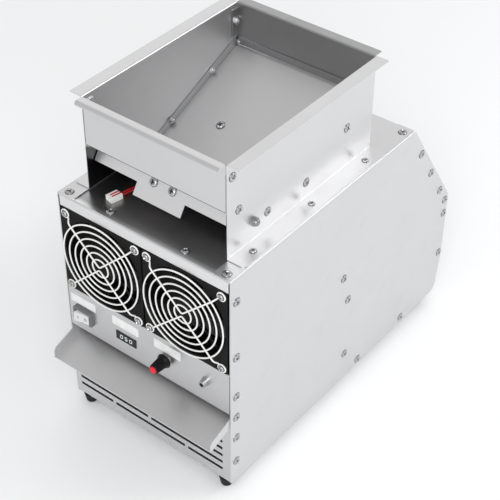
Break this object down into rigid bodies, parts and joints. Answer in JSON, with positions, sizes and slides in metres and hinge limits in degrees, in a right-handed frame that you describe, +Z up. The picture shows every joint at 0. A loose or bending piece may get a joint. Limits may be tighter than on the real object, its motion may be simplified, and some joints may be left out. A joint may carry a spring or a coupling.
{
  "type": "seed winnowing machine",
  "caption": "Desktop seed winnower in sheet steel: hopper with sliding feed gate, guarded axial fans, control panel, front grain chute and rear chaff outlet.",
  "frame": {"origin": "centre of the footprint, at the level that the feet stand on", "axes": "+Z up, the fans and panel face -Y, +X to the right when facing the fans"},
  "size_m": [0.25, 0.4934, 0.456],
  "materials": {
    "casing_steel": "brushed stainless sheet",
    "hopper_steel": "satin stainless sheet",
    "screw_steel": "bright turned steel",
    "fan_plastic": "black moulded plastic",
    "guard_wire": "cream coated wire",
    "black_plastic": "black moulded plastic",
    "rocker_plastic": "grey gloss plastic",
    "display_window": "smoked window",
    "red_cap": "red gloss plastic",
    "foot_rubber": "black rubber",
    "motor_can": "drawn steel can",
    "weight_steel": "brass",
    "white_plastic": "white moulded plastic",
    "red_leads": "red insulation",
    "board_green": "coated circuit board"
  },
  "bodies": {
    "machine_body": {"left_side_plate": "casing_steel", "right_side_plate": "casing_steel", "top_plate": "casing_steel", "rear_cover": "casing_steel", "rear_rail": "casing_steel", "base_tray": "casing_steel", "grain_chute": "casing_steel", "divider_plate": "casing_steel", "vent_panel": "casing_steel", "control_panel": "casing_steel", "control_box_tray": "casing_steel", "fan_top_channel": "casing_steel", "hopper_side_left": "hopper_steel", "hopper_side_right": "hopper_steel", "hopper_front_wall": "hopper_steel", "hopper_rear_wall": "hopper_steel", "hopper_floor": "hopper_steel", "hopper_front_slope": "hopper_steel", "hopper_screws": "screw_steel", "guard_screws": "screw_steel", "gate_rod": "screw_steel", "rod_cap_nuts": "screw_steel", "motor_strap_screw": "screw_steel", "potentiometer_nut": "screw_steel", "socket_nut": "screw_steel", "motor_strap": "screw_steel", "fan_frame_left": "fan_plastic", "fan_frame_right": "fan_plastic", "finger_guard_left": "guard_wire", "finger_guard_right": "guard_wire", "rocker_switch_body": "black_plastic", "speed_display": "black_plastic", "power_socket": "black_plastic", "fan_side_strips": "black_plastic", "display_window": "display_window", "foot_front_left": "foot_rubber", "foot_front_right": "foot_rubber", "foot_rear_left": "foot_rubber", "foot_rear_right": "foot_rubber", "vibration_motor": "motor_can", "speed_potentiometer": "motor_can", "lead_connector": "white_plastic", "motor_leads": "red_leads", "control_board": "board_green"},
    "fan_impeller_left_body": {"fan_impeller_left": "fan_plastic"},
    "fan_impeller_right_body": {"fan_impeller_right": "fan_plastic"},
    "gate_body": {"feed_gate": "hopper_steel", "gate_front_plate": "hopper_steel", "gate_screws": "screw_steel"},
    "weight_body": {"eccentric_weight": "weight_steel"},
    "knob_body": {"speed_knob": "black_plastic", "knob_cap": "red_cap", "potentiometer_shaft": "screw_steel"},
    "rocker_body": {"switch_rocker": "rocker_plastic"}
  },
  "joints": [
    {"name": "fan_spin_left", "type": "hinge", "parent": "machine_body", "child": "fan_impeller_left_body", "pos_m": [-0.06125, -0.19475, 0.2547], "axis": [0, 1, 0], "continuous": true},
    {"name": "fan_spin_right", "type": "hinge", "parent": "machine_body", "child": "fan_impeller_right_body", "pos_m": [0.06125, -0.19475, 0.2547], "axis": [0, 1, 0], "continuous": true},
    {"name": "gate_slide", "type": "slide", "parent": "machine_body", "child": "gate_body", "axis": [0, -0.8368, 0.5476], "range_m": [0, 0.028]},
    {"name": "weight_spin", "type": "hinge", "parent": "machine_body", "child": "weight_body", "pos_m": [-0.041, 0.00113, 0.35272], "axis": [1, 0, 0], "continuous": true},
    {"name": "knob_turn", "type": "hinge", "parent": "machine_body", "child": "knob_body", "pos_m": [0.031, -0.21275, 0.1654], "axis": [0, 1, 0], "range_deg": [-150, 150]},
    {"name": "rocker_tilt", "type": "hinge", "parent": "machine_body", "child": "rocker_body", "pos_m": [-0.099, -0.21115, 0.1589], "axis": [0, 0, 1], "range_deg": [-18, 0]}
  ]
}
